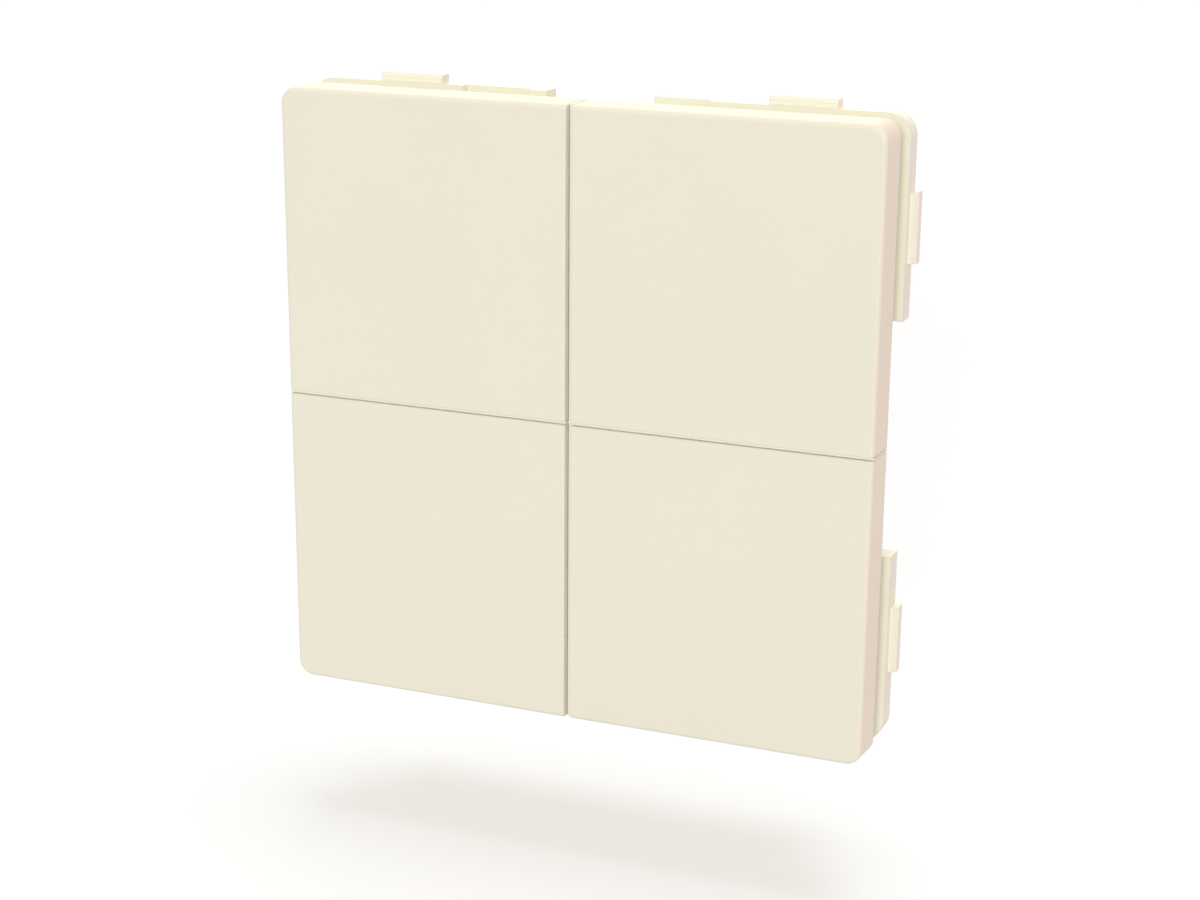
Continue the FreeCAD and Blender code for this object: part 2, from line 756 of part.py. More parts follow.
def make_battery_cover():
    body = new_body("battery_cover")
    add(body, "disc", "dim.cover_sunk", "dim.housing_floor", [("0", "0", "dim.cover_radius")])
    sunk = -size("cover_sunk")
    finish_edges(body, "Fillet", "rim_round", "dim.cover_edge", lambda edge: near(middle(edge).y, sunk))
    lug_low = "dim.housing_floor + dim.lug_gap"
    lug_high = f"{lug_low} + dim.bayonet_thick"
    rim = [("0", "0", "dim.cover_radius"), ("0", "0", "dim.cover_radius - dim.cover_rim")]
    add(body, "rim", "dim.housing_floor", lug_high, rim)
    lug = bayonet_outline(
        "dim.cover_radius - dim.cover_rim / 2",
        "dim.cover_radius + dim.bayonet_reach",
        "dim.bayonet_width / 2",
        lug_start,
    )
    lug_pad = add(body, "bayonet_lug", lug_low, lug_high, [lug])
    repeat_round(body, "bayonet_lugs", lug_pad, lug_pad.Profile[0], lug_count)
    slot = centred("0", "0", "dim.coin_slot_length", "dim.coin_slot_width")
    remove(body, "coin_slot", "dim.cover_sunk", "dim.cover_sunk + dim.coin_slot_depth", [slot])
    return body


def make_housing_screws():
    body = new_body("housing_screws")
    add(body, "heads", head_low, head_high, screw_points("dim.head_radius"))
    add(body, "shanks", head_high, f"{pilot_high} - dim.thread_spare", screw_points("dim.shank_radius"))
    for name, width, height in (
        ("level", "dim.cross_length", "dim.cross_width"),
        ("upright", "dim.cross_width", "dim.cross_length"),
    ):
        slots = [centred(*place, width, height) for place in screw_places]
        remove(body, f"{name}_cross", head_low, f"{head_low} + dim.cross_depth", slots)
    return body


# Circuit board, battery and contacts
def make_circuit_board():
    body = new_body("circuit_board")
    half = "dim.board_size / 2"
    add(body, "board", "dim.board_height", board_front, [rectangle(f"-{half}", half, f"-{half}", half)])
    finish_edges(body, "Fillet", "corners", "dim.board_corner", lambda edge: along(edge, depth_axis))
    holes = screw_points("dim.shank_radius + dim.shank_play")
    remove(body, "screw_holes", "dim.board_height", board_front, holes)
    notches = [
        rectangle(
            f"{sign_x} * dim.switch_x - {hook_slot_half}",
            f"{sign_x} * dim.switch_x + {hook_slot_half}",
            f"{sign_z} * {hook_slot_inner}",
            f"{sign_z} * (dim.board_size / 2 + dim.cut_over)",
        )
        for sign_x in sides
        for sign_z in sides
    ]
    remove(body, "hook_notches", "dim.board_height", board_front, notches)
    return body


def make_coin_cell():
    body = new_body("coin_cell")
    can_high = f"{cell_high} - dim.cell_cap_thick"
    add(body, "can", "dim.cell_height", can_high, [("0", "0", "dim.cell_radius")])
    low = -size("cell_height")
    high = low - size("cell_thick") + size("cell_cap_thick")
    finish_edges(
        body, "Fillet", "can_round", "dim.cell_edge",
        lambda edge: near(middle(edge).y, low) or near(middle(edge).y, high),
    )
    add(body, "cap", can_high, cell_high, [("0", "0", "dim.cell_cap_radius")])
    return body


def make_battery_holder():
    body = new_body("battery_holder")
    inner = "(dim.cell_radius + dim.cell_play)"
    outer = f"({inner} + dim.holder_wall)"
    add(body, "ring", holder_low, "dim.board_height", [("0", "0", outer), ("0", "0", inner)])
    half = "(dim.clip_width / 2 + dim.clip_slot_play)"
    gap = rectangle("dim.cell_radius - dim.cut_over", f"{outer} + dim.cut_over", f"-{half}", half)
    remove(body, "clip_gap", holder_low, "dim.board_height", [gap])
    return body


def make_positive_clip():
    body = new_body("battery_positive_clip")
    start = "(dim.cell_radius + dim.clip_gap)"
    half = "dim.clip_width / 2"
    blade = rectangle(start, f"{start} + dim.clip_thick", f"-{half}", half)
    add(body, "blade", holder_low, "dim.board_height", [blade])
    foot = rectangle(start, f"{start} + dim.clip_thick + dim.clip_foot", f"-{half}", half)
    add(body, "foot", "dim.board_height - dim.clip_thick", "dim.board_height", [foot])
    return body


def make_negative_contact():
    body = new_body("battery_negative_contact")
    low = "dim.board_height - dim.clip_thick"
    strip = centred("0", "0", "dim.contact_length", "dim.contact_width")
    add(body, "strip", low, "dim.board_height", [strip])
    add(body, "dimple", cell_high, low, [("0", "0", "dim.contact_radius")])
    return body


# Push switches
def make_switch(label, across, up):
    base = new_body(f"switch_base_{label}")
    outline = centred(across, up, "dim.switch_size", "dim.switch_size")
    well_low = f"{board_front} + dim.switch_floor"
    add(base, "block", board_front, base_top, [outline])
    remove(base, "well", well_low, base_top, [(across, up, "dim.plunger_flange + dim.plunger_play")])

    cover = new_body(f"switch_cover_{label}")
    add(cover, "sheet", base_top, cover_top, [outline])
    remove(cover, "hole", base_top, cover_top, [(across, up, "dim.plunger_radius + dim.plunger_play")])
    ear_low = f"{cover_top} - dim.ear_drop"
    ears = [
        rectangle(
            f"{across} + {side} * dim.switch_size / 2",
            f"{across} + {side} * (dim.switch_size / 2 + dim.ear_wall)",
            f"{up} - dim.ear_width / 2",
            f"{up} + dim.ear_width / 2",
        )
        for side in sides
    ]
    add(cover, "ears", ear_low, cover_top, ears)

    plunger = new_body(f"switch_plunger_{label}")
    flange_low = f"{base_top} - dim.plunger_flange_thick"
    add(plunger, "flange", flange_low, base_top, [(across, up, "dim.plunger_flange")])
    add(plunger, "stem", base_top, plunger_top, [(across, up, "dim.plunger_radius")])
    return [base, cover, plunger]


def make_pairing_switch():
    up = "-dim.pairing_z"
    low = "dim.board_height - dim.pairing_thick"
    cover_low = f"{low} - dim.switch_cover_thick"
    outline = centred("0", up, "dim.pairing_size", "dim.pairing_size")
    base = new_body("pairing_switch_base")
    add(base, "block", low, "dim.board_height", [outline])
    flange_room = f"{low} + dim.plunger_flange_thick + dim.plunger_travel"
    remove(base, "well", low, flange_room, [("0", up, "dim.pairing_flange + dim.plunger_play")])

    cover = new_body("pairing_switch_cover")
    add(cover, "sheet", cover_low, low, [outline])
    remove(cover, "hole", cover_low, low, [("0", up, "dim.pairing_radius + dim.plunger_play")])

    plunger = new_body("pairing_switch_plunger")
    stem_low = f"{cover_low} - dim.pairing_proud"
    add(plunger, "flange", low, f"{low} + dim.plunger_flange_thick", [("0", up, "dim.pairing_flange")])
    add(plunger, "stem", stem_low, low, [("0", up, "dim.pairing_radius")])
    return [base, cover, plunger]


# Radio module and small electronics
def make_electronics():
    radio = new_body("radio_board")
    radio_high = f"{board_front} + dim.radio_thick"
    half = "dim.radio_width / 2"
    top = "(dim.radio_low + dim.radio_length)"
    add(radio, "board", board_front, radio_high, [rectangle(f"-{half}", half, "dim.radio_low", top)])

    shield = new_body("radio_shield")
    shield_half = "dim.shield_size / 2"
    shield_low = "(dim.radio_low + dim.shield_inset)"
    shield_top = f"({shield_low} + dim.shield_size)"
    shield_high = f"{radio_high} + dim.shield_thick"
    can = rectangle(f"-{shield_half}", shield_half, shield_low, shield_top)
    add(shield, "can", radio_high, shield_high, [can])
    room_half = f"({shield_half} - dim.shield_wall)"
    room = rectangle(
        f"-{room_half}", room_half, f"{shield_low} + dim.shield_wall", f"{shield_top} - dim.shield_wall",
    )
    remove(shield, "inside", radio_high, f"{shield_high} - dim.shield_wall", [room])

    antenna = new_body("chip_antenna")
    antenna_top = f"({top} - dim.antenna_inset)"
    antenna_low = f"{antenna_top} - dim.antenna_width"
    block = rectangle("-dim.antenna_length / 2", "dim.antenna_length / 2", antenna_low, antenna_top)
    add(antenna, "block", radio_high, f"{radio_high} + dim.antenna_thick", [block])

    crystal = new_body("clock_crystal")
    can = centred("0", "dim.crystal_z", "dim.crystal_length", "dim.crystal_width")
    add(crystal, "can", board_front, f"{board_front} + dim.crystal_thick", [can])

    capacitors = new_body("capacitors")
    blocks = [
        centred(
            f"{place} * dim.capacitor_pitch",
            "dim.capacitor_z",
            "dim.capacitor_width",
            "dim.capacitor_length",
        )
        for place in (-1, 0, 1)
    ]
    add(capacitors, "blocks", board_front, f"{board_front} + dim.capacitor_thick", blocks)
    return [radio, shield, antenna, crystal, capacitors]


pieces = [make_key(sign_x, sign_z) for sign_x, sign_z in key_names]
pieces += [make_key_frame(), make_rear_housing(), make_battery_cover(), make_housing_screws()]
pieces += [make_circuit_board(), make_coin_cell(), make_battery_holder()]
pieces += [make_positive_clip(), make_negative_contact()]
for (sign_x, sign_z), label in key_names.items():
    pieces += make_switch(label, f"{sign_x} * dim.switch_x", f"{sign_z} * dim.switch_z")
pieces += make_pairing_switch()
pieces += make_electronics()
for piece in pieces:
    piece.Tip.Refine = True
document.recompute()

for item in document.Objects:
    if "Invalid" in item.State or "Error" in item.State:
        raise RuntimeError(f"{item.Name} failed: {item.State}")
for piece in pieces:
    if piece.Shape.isNull() or not piece.Shape.isValid():
        raise RuntimeError(f"{piece.Label} has no valid shape")

os.makedirs("parts", exist_ok=True)
for piece in pieces:
    piece.Shape.exportStep(f"parts/{piece.Label}.step")
    print(piece.Label, len(piece.Shape.Solids), round(piece.Shape.Volume, 2))
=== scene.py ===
import json
import math

import bmesh
import bpy
import numpy as np
from mathutils import Matrix, Vector


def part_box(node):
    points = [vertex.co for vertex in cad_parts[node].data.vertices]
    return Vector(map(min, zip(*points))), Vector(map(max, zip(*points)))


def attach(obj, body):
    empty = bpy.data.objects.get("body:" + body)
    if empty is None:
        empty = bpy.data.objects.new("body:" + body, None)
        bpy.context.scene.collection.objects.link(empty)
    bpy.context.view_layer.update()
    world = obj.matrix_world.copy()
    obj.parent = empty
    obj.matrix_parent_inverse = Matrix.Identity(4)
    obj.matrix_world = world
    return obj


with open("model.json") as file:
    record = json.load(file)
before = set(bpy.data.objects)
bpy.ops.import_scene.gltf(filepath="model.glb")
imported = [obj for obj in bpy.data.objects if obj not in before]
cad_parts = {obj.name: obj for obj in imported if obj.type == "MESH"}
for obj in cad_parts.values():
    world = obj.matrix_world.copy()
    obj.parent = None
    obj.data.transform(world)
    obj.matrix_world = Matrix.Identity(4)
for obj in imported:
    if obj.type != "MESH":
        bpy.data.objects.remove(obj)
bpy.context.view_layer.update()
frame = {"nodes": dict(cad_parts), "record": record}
mm = 0.001  # metres in a millimetre
mainBody = "switch_body"
quarters = ("top_left", "top_right", "bottom_left", "bottom_right")
switchNames = [f"switch_base_{quarter}" for quarter in quarters]


# Camera, fitted to the corners and edges of the photographed front
cameraValues = {
    "azimuth": math.radians(21.67),
    "elevation": math.radians(17.20),
    "roll": math.radians(0.70),
    "distance": 199.14 * mm,
    "right": 5.40 * mm,
    "up": -6.48 * mm,
    "focalPixels": 2295.1,
    "centrePixels": (629.6, 499.0),
    "imageSize": (1200, 900),
    "sensor": 36.0,
    "nearest": 10 * mm,
    "farthest": 20.0,
}


def makeCamera(values):
    azimuth, elevation, roll = values["azimuth"], values["elevation"], values["roll"]
    back = Vector((
        math.sin(azimuth) * math.cos(elevation),
        -math.cos(azimuth) * math.cos(elevation),
        math.sin(elevation),
    ))
    level = Vector((math.cos(azimuth), math.sin(azimuth), 0.0))
    upright = back.cross(level)
    right = math.cos(roll) * level + math.sin(roll) * upright
    up = -math.sin(roll) * level + math.cos(roll) * upright
    front = Vector((0.0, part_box("key_top_left")[0].y, 0.0))  # middle of the key faces
    place = front + back * values["distance"] + right * values["right"] + up * values["up"]
    camera = bpy.data.objects.new("camera", bpy.data.cameras.new("camera"))
    camera.matrix_world = Matrix((
        (right.x, up.x, back.x, place.x),
        (right.y, up.y, back.y, place.y),
        (right.z, up.z, back.z, place.z),
        (0.0, 0.0, 0.0, 1.0),
    ))
    width, height = values["imageSize"]
    centreX, centreY = values["centrePixels"]
    camera.data.sensor_width = values["sensor"]
    camera.data.lens = values["focalPixels"] * values["sensor"] / width
    camera.data.shift_x = (width / 2 - centreX) / width
    camera.data.shift_y = (centreY - height / 2) / width
    camera.data.clip_start = values["nearest"]
    camera.data.clip_end = values["farthest"]
    bpy.context.scene.collection.objects.link(camera)
    bpy.context.scene.camera = camera


makeCamera(cameraValues)
print("camera placed")


# Node trees
def newMaterial(name):
    material = bpy.data.materials.new(name)
    material.use_nodes = True
    tree = material.node_tree
    shader = tree.nodes["Principled BSDF"]
    return material, tree, shader


def addNode(tree, kind, **values):
    node = tree.nodes.new(kind)
    for name, value in values.items():
        setattr(node, name, value)
    return node


# Noise over the object's own coordinates. One over the scale is the size of a grain in metres.
def noiseAt(tree, scale, detail=3.0, roughness=0.55):
    place = addNode(tree, "ShaderNodeTexCoord")
    noise = addNode(tree, "ShaderNodeTexNoise")
    noise.inputs["Scale"].default_value = scale
    noise.inputs["Detail"].default_value = detail
    noise.inputs["Roughness"].default_value = roughness
    tree.links.new(place.outputs["Object"], noise.inputs["Vector"])
    return noise.outputs["Fac"]


# A value carried from one range to another. The first range is by default where most noise lies.
def spread(tree, value, low, high, fromLow=0.35, fromHigh=0.65):
    scale = addNode(tree, "ShaderNodeMapRange")
    scale.inputs["From Min"].default_value = fromLow
    scale.inputs["From Max"].default_value = fromHigh
    scale.inputs["To Min"].default_value = low
    scale.inputs["To Max"].default_value = high
    tree.links.new(value, scale.inputs["Value"])
    return scale.outputs["Result"]


def mixColours(tree, factor, first, second):
    mix = addNode(tree, "ShaderNodeMix", data_type="RGBA")
    tree.links.new(factor, mix.inputs["Factor"])
    for name, colour in (("A", first), ("B", second)):
        socket = [item for item in mix.inputs if item.name == name and item.type == "RGBA"][0]
        if isinstance(colour, tuple):
            socket.default_value = (*colour, 1.0)
        else:
            tree.links.new(colour, socket)
    return [item for item in mix.outputs if item.type == "RGBA"][0]


# One pattern as grain: it varies the roughness over a range and raises the surface by up to a depth
def addGrain(tree, shader, grain, roughness, depth, normal=None):
    tree.links.new(spread(tree, grain, *roughness), shader.inputs["Roughness"])
    bump = addNode(tree, "ShaderNodeBump")
    bump.inputs["Distance"].default_value = depth
    tree.links.new(grain, bump.inputs["Height"])
    if normal is not None:
        tree.links.new(normal, bump.inputs["Normal"])
    tree.links.new(bump.outputs["Normal"], shader.inputs["Normal"])


# A screen colour from 0 to 255 as the light it stands for, by the sRGB curve
def linear(red, green, blue):
    parts = np.array((red, green, blue)) / 255
    light = np.where(parts <= 0.04045, parts / 12.92, ((parts + 0.055) / 1.055) ** 2.4)
    return tuple(float(part) for part in light)


# What all the plastics share. A mask is full at the first number of its pair and gone at the second.
plasticShared = {
    "driftScale": 55.0,
    "detail": 2.0,
    "refraction": 1.46,
    "maskSamples": 6,
    "edgeCosines": (0.75, 0.995),
    "gapReach": 0.7 * mm,
    "gapOpenness": (0.15, 0.60),
}


# Full along an edge and gone on flat ground, by the cosine between a rounded normal and the true one. It
# places the painted highlight on rounded edges.
def edgeHighlightMask(tree, radius):
    bevel = addNode(tree, "ShaderNodeBevel", samples=plasticShared["maskSamples"])
    bevel.inputs["Radius"].default_value = radius
    ground = addNode(tree, "ShaderNodeNewGeometry")
    lean = addNode(tree, "ShaderNodeVectorMath", operation="DOT_PRODUCT")
    tree.links.new(bevel.outputs["Normal"], lean.inputs[0])
    tree.links.new(ground.outputs["Normal"], lean.inputs[1])
    mask = spread(tree, lean.outputs["Value"], 1.0, 0.0, *plasticShared["edgeCosines"])
    return mask, bevel.outputs["Normal"]


# Full deep in narrow gaps and gone in the open. It places painted light that lifts the shade in narrow
# gaps.
def gapMask(tree):
    shade = addNode(tree, "ShaderNodeAmbientOcclusion", samples=plasticShared["maskSamples"])
    shade.inputs["Distance"].default_value = plasticShared["gapReach"]
    return spread(tree, shade.outputs["AO"], 1.0, 0.0, *plasticShared["gapOpenness"])


# Moulded plastics: fine grain, slow colour drift, a painted highlight on edges, and painted light that
# lifts the shade in narrow gaps
# In each plastic the edge colour is a painted highlight on rounded edges, and the colour for gaps is
# painted light over the shade in narrow gaps
plasticValues = {
    "keyPlastic": {
        "colour": linear(237, 231, 207),
        "drift": linear(236, 230, 206),
        "edge": linear(240, 235, 214),
        "gap": linear(252, 244, 238),
        "roughness": (0.42, 0.50),
        "grain": 5200.0,
        "grainDepth": 0.006 * mm,
        "edgeRadius": 0.10 * mm,
    },
    "framePlastic": {
        "colour": linear(242, 240, 218),
        "drift": linear(240, 238, 216),
        "edge": linear(246, 244, 227),
        "gap": linear(253, 248, 238),
        "roughness": (0.38, 0.48),
        "grain": 4200.0,
        "grainDepth": 0.006 * mm,
        "edgeRadius": 0.14 * mm,
    },
    "housingPlastic": {
        "colour": linear(233, 227, 208),
        "drift": linear(231, 225, 206),
        "edge": linear(240, 235, 219),
        "gap": linear(244, 239, 228),
        "roughness": (0.48, 0.60),
        "grain": 2600.0,
        "grainDepth": 0.015 * mm,
        "edgeRadius": 0.14 * mm,
    },
    "blackPlastic": {
        "colour": linear(38, 38, 40),
        "drift": linear(46, 46, 48),
        "edge": linear(72, 72, 74),
        "gap": linear(38, 38, 40),
        "roughness": (0.40, 0.55),
        "grain": 4200.0,
        "grainDepth": 0.008 * mm,
        "edgeRadius": 0.06 * mm,
    },
}


def makePlastic(name, values):
    material, tree, shader = newMaterial(name)
    cloud = noiseAt(tree, plasticShared["driftScale"], plasticShared["detail"])
    colour = mixColours(tree, spread(tree, cloud, 0.0, 1.0), values["colour"], values["drift"])
    # Painted highlight: the edge colour lightens rounded edges
    edge, rounded = edgeHighlightMask(tree, values["edgeRadius"])
    colour = mixColours(tree, edge, colour, values["edge"])
    # Painted light: lifts the shade deep in narrow gaps
    colour = mixColours(tree, gapMask(tree), colour, values["gap"])
    tree.links.new(colour, shader.inputs["Base Color"])
    grain = noiseAt(tree, values["grain"], plasticShared["detail"])
    addGrain(tree, shader, grain, values["roughness"], values["grainDepth"], rounded)
    shader.inputs["IOR"].default_value = plasticShared["refraction"]
    return material


# Metals: brushed or plated sheet
metalShared = {"detail": 4.0, "grainDepth": 0.004 * mm}
metalValues = {
    "zincSteel": {"colour": (0.56, 0.56, 0.57), "roughness": (0.24, 0.42), "grain": 1500.0},
    "tinnedSteel": {"colour": (0.66, 0.66, 0.66), "roughness": (0.22, 0.36), "grain": 2200.0},
    "cellSteel": {"colour": (0.70, 0.70, 0.69), "roughness": (0.18, 0.32), "grain": 1800.0},
    "platedBrass": {"colour": (0.72, 0.62, 0.38), "roughness": (0.22, 0.35), "grain": 2000.0},
    "solder": {"colour": (0.62, 0.62, 0.61), "roughness": (0.14, 0.30), "grain": 1200.0},
}


def makeMetal(name, values):
    material, tree, shader = newMaterial(name)
    shader.inputs["Base Color"].default_value = (*values["colour"], 1.0)
    shader.inputs["Metallic"].default_value = 1.0
    grain = noiseAt(tree, values["grain"], metalShared["detail"])
    addGrain(tree, shader, grain, values["roughness"], metalShared["grainDepth"])
    return material


# Boards and ceramics: a fine weave that comes and goes in clouds
boardShared = {
    "weaveScale": 1600.0,
    "cloudScale": 300.0,
    "sheenScale": 900.0,
    "roughness": (0.3, 0.42),
}
boardValues = {
    "greenBoard": {"colour": linear(28, 92, 52), "weave": linear(36, 110, 62)},
    "blueBoard": {"colour": linear(28, 48, 96), "weave": linear(36, 60, 112)},
    "whiteCeramic": {"colour": linear(222, 222, 216), "weave": linear(206, 206, 200)},
    "tanCeramic": {"colour": linear(168, 132, 92), "weave": linear(150, 116, 80)},
}


def makeBoard(name, values):
    material, tree, shader = newMaterial(name)
    place = addNode(tree, "ShaderNodeTexCoord")
    weave = addNode(tree, "ShaderNodeTexChecker")
    weave.inputs["Scale"].default_value = boardShared["weaveScale"]
    tree.links.new(place.outputs["Object"], weave.inputs["Vector"])
    cloud = spread(tree, noiseAt(tree, boardShared["cloudScale"]), 0.0, 1.0)
    blend = addNode(tree, "ShaderNodeMath", operation="MULTIPLY")
    tree.links.new(weave.outputs["Fac"], blend.inputs[0])
    tree.links.new(cloud, blend.inputs[1])
    colour = mixColours(tree, blend.outputs[0], values["colour"], values["weave"])
    tree.links.new(colour, shader.inputs["Base Color"])
    sheen = noiseAt(tree, boardShared["sheenScale"])
    tree.links.new(spread(tree, sheen, *boardShared["roughness"]), shader.inputs["Roughness"])
    return material


materials = {name: makePlastic(name, values) for name, values in plasticValues.items()}
materials.update({name: makeMetal(name, values) for name, values in metalValues.items()})
materials.update({name: makeBoard(name, values) for name, values in boardValues.items()})
print("plastics, metals and boards made")

slotMaterials = {
    "key_plastic": "keyPlastic",
    "frame_plastic": "framePlastic",
    "housing_plastic": "housingPlastic",
    "screw_steel": "zincSteel",
    "board_laminate": "greenBoard",
    "cell_steel": "cellSteel",
    "holder_plastic": "blackPlastic",
    "contact_metal": "platedBrass",
    "switch_plastic": "blackPlastic",
    "plunger_plastic": "blackPlastic",
    "cover_steel": "tinnedSteel",
    "radio_laminate": "blueBoard",
    "antenna_ceramic": "whiteCeramic",
    "capacitor_ceramic": "tanCeramic",
}
for row in frame["record"]["subparts"]:
    piece = frame["nodes"][row["node"]]
    piece.data.materials.clear()
    piece.data.materials.append(materials[slotMaterials[row["material_slot"]]])
print("CAD nodes dressed")


# Shells of quads. Each grid is rows of closed loops, and a loop's last point meets its first.
# An open row of loops gets a flat cap at each end, and a closed one runs back into its first loop.
def shellFaces(rows, count, start, closed):
    corner = start + np.arange(rows * count).reshape(rows, count)
    beside = np.roll(corner, -1, axis=1)
    if closed:
        here, there = (corner, beside), (np.roll(corner, -1, axis=0), np.roll(beside, -1, axis=0))
    else:
        here, there = (corner[:-1], beside[:-1]), (corner[1:], beside[1:])
    quads = np.stack((here[0], here[1], there[1], there[0]), axis=-1).reshape(-1, 4).tolist()
    return quads if closed else quads + [corner[0].tolist(), corner[-1].tolist()]


# One object from its grids. The last value lists the numbers of the grids that are closed.
def makePiece(name, grids, material, body, closed=()):
    points, faces, start = [], [], 0
    for number, grid in enumerate(grids):
        rows, count = grid.shape[:2]
        faces += shellFaces(rows, count, start, number in closed)
        points.append(grid.reshape(-1, 3))
        start += rows * count
    mesh = bpy.data.meshes.new(name)
    mesh.from_pydata(np.concatenate(points).tolist(), [], faces)
    shell = bmesh.new()
    shell.from_mesh(mesh)
    bmesh.ops.recalc_face_normals(shell, faces=shell.faces)
    shell.to_mesh(mesh)
    shell.free()
    mesh.polygons.foreach_set("use_smooth", np.array([len(face) == 4 for face in faces]))
    mesh.materials.append(materials[material])
    piece = bpy.data.objects.new(name, mesh)
    bpy.context.scene.collection.objects.link(piece)
    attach(piece, body)


# Waves from -1 to 1 raised to a power, each with its own sign. Under one this squares off a circle.
def signedPower(waves, power):
    return np.sign(waves) * np.abs(waves) ** power


# The unit direction of a path at each of its points
def directions(path):
    along = np.gradient(path, axis=0)
    return along / np.linalg.norm(along, axis=1)[:, None]


# A strip carried along a path: at each point the loop is a squared-off oval, whose half width runs
# across the path and whose half height runs along the lift direction
def sweepStrip(path, across, lift, halfWidths, halfHeights, sides=16, squareness=0.45):
    turn = np.linspace(0.0, 2.0 * math.pi, sides, endpoint=False)
    wide = np.broadcast_to(halfWidths, len(path))[:, None] * signedPower(np.cos(turn), squareness)
    high = np.broadcast_to(halfHeights, len(path))[:, None] * signedPower(np.sin(turn), squareness)
    sideways = np.broadcast_to(across, path.shape)[:, None, :] * wide[:, :, None]
    upwards = np.broadcast_to(lift, path.shape)[:, None, :] * high[:, :, None]
    return path[:, None, :] + sideways + upwards


# A strip on a flat face that looks along Y, from points in X and Z
def flatStrip(places, halfWidths, surface, rise):
    along = directions(places)
    path = np.stack((places[:, 0], np.full(len(places), surface), places[:, 1]), axis=1)
    across = np.stack((-along[:, 1], np.zeros(len(places)), along[:, 0]), axis=1)
    return sweepStrip(path, across, (0.0, 1.0, 0.0), halfWidths, rise)


# Points at one radius about the middle, at angles in degrees that grow from +Z towards +X
def roundPlaces(radius, angles, centre=(0.0, 0.0)):
    angles = np.radians(angles)
    return np.stack((centre[0] + radius * np.sin(angles), centre[1] + radius * np.cos(angles)), axis=-1)


# A filled spot is a short strip whose half width follows a circle, up to a share of its radius
def spot(centre, radius, surface, rise, steps=13, share=0.995):
    reach = np.cos(np.linspace(math.pi, 0.0, steps)) * share
    places = np.stack((centre[0] + reach * radius, np.full(steps, centre[1])), axis=1)
    return flatStrip(places, radius * np.sqrt(1.0 - reach ** 2), surface, rise)


# A plus sign on the middle line at a height: a level strip and an upright one
def plusSign(height, half, line, surface, rise, steps=5):
    reach = np.linspace(-half, half, steps)
    level = np.stack((reach, np.full(steps, height)), axis=1)
    upright = np.stack((np.zeros(steps), height + reach), axis=1)
    return [flatStrip(places, line, surface, rise) for places in (level, upright)]


# Raised marks by the battery cover: a spot for closed, a ring for open and an arrow from one to the other
turnMarks = {
    "radius": 15.2 * mm,
    "spotRadius": 0.95 * mm,
    "ringRadius": 0.75 * mm,
    "ringSteps": 32,
    "line": 0.18 * mm,
    "arrowSpan": (6.0, 24.0),
    "arrowSteps": 37,
    "headSpan": 4.5,
    "headHalf": 0.65 * mm,
    "tipHalf": 0.01 * mm,
    "rise": 0.08 * mm,
}


def makeTurnMarks(values):
    radius, line, rise = values["radius"], values["line"], values["rise"]
    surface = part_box("rear_housing")[1].y
    angles = np.linspace(*values["arrowSpan"], values["arrowSteps"])
    head = np.clip((values["arrowSpan"][1] - angles) / values["headSpan"], 0.0, 1.0)
    halfWidths = np.where(head < 1.0, values["tipHalf"] + values["headHalf"] * head, line)
    arrow = flatStrip(roundPlaces(radius, angles), halfWidths, surface, rise)
    closedSpot = spot((0.0, radius), values["spotRadius"], surface, rise)
    joints = {joint["name"]: joint for joint in frame["record"]["behaviour"]["joints"]}
    openCentre = roundPlaces(radius, joints["battery_cover_turn"]["range_deg"][1])
    around = np.linspace(0.0, 360.0, values["ringSteps"], endpoint=False)
    openRing = flatStrip(roundPlaces(values["ringRadius"], around, openCentre), line, surface, rise)
    grids = [arrow, closedSpot, openRing]
    makePiece("turn_marks", grids, "housingPlastic", mainBody, closed=(2,))


# On the sunk face of the cover: a pointer with its tip at the rim, and a plus sign for the side of the
# cell that faces out
coverMarks = {
    "sunk": 0.15 * mm,
    "tipRadius": 10.7 * mm,
    "tipHalf": 0.02 * mm,
    "baseRadius": 8.6 * mm,
    "baseHalf": 0.75 * mm,
    "pointerSteps": 9,
    "plusHeight": -6.8 * mm,
    "plusHalf": 1.3 * mm,
    "line": 0.25 * mm,
    "rise": 0.07 * mm,
}


def makeCoverMarks(values):
    steps = values["pointerSteps"]
    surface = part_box("rear_housing")[1].y - values["sunk"]
    reach = np.linspace(values["baseRadius"], values["tipRadius"], steps)
    halfWidths = np.linspace(values["baseHalf"], values["tipHalf"], steps)
    pointer = flatStrip(np.stack((np.zeros(steps), reach), axis=1), halfWidths, surface, values["rise"])
    plus = plusSign(values["plusHeight"], values["plusHalf"], values["line"], surface, values["rise"])
    makePiece("cover_marks", [pointer] + plus, "housingPlastic", "battery_cover")


# The plus sign stamped on the can of the cell
cellMark = {"height": 5.0 * mm, "half": 1.4 * mm, "line": 0.22 * mm, "rise": 0.03 * mm}


def makeCellMark(values):
    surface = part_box("coin_cell")[1].y
    plus = plusSign(values["height"], values["half"], values["line"], surface, values["rise"])
    makePiece("cell_mark", plus, "cellSteel", mainBody)


# Legs of the push switches: flat strips that leave the base, bend down and end on the board. The points
# of a leg are shares of its reach beyond the base and of its lift off the board.
legValues = {
    "spacing": 4.5 * mm,
    "halfWidth": 0.35 * mm,
    "halfThick": 0.075 * mm,
    "reach": 0.95 * mm,
    "reachShares": (-0.10, 0.25, 0.34, 0.42, 0.50, 0.62, 1.0),
    "lift": 0.45 * mm,
    "liftShares": (1.0, 1.0, 0.93, 0.60, 0.25, 0.17, 0.17),
    "solderShare": 0.85,
    "sides": 12,
    "squareness": 0.3,
}


def legStrip(across, base, outward, board, values):
    reach = np.array(values["reachShares"]) * values["reach"]
    height = np.array(values["liftShares"]) * values["lift"]
    path = np.stack((np.full(len(reach), across), board - height, base + outward * reach), axis=1)
    sideways = (1.0, 0.0, 0.0)
    lift = np.cross(directions(path), sideways)
    halves = values["halfWidth"], values["halfThick"]
    return sweepStrip(path, sideways, lift, *halves, values["sides"], values["squareness"])


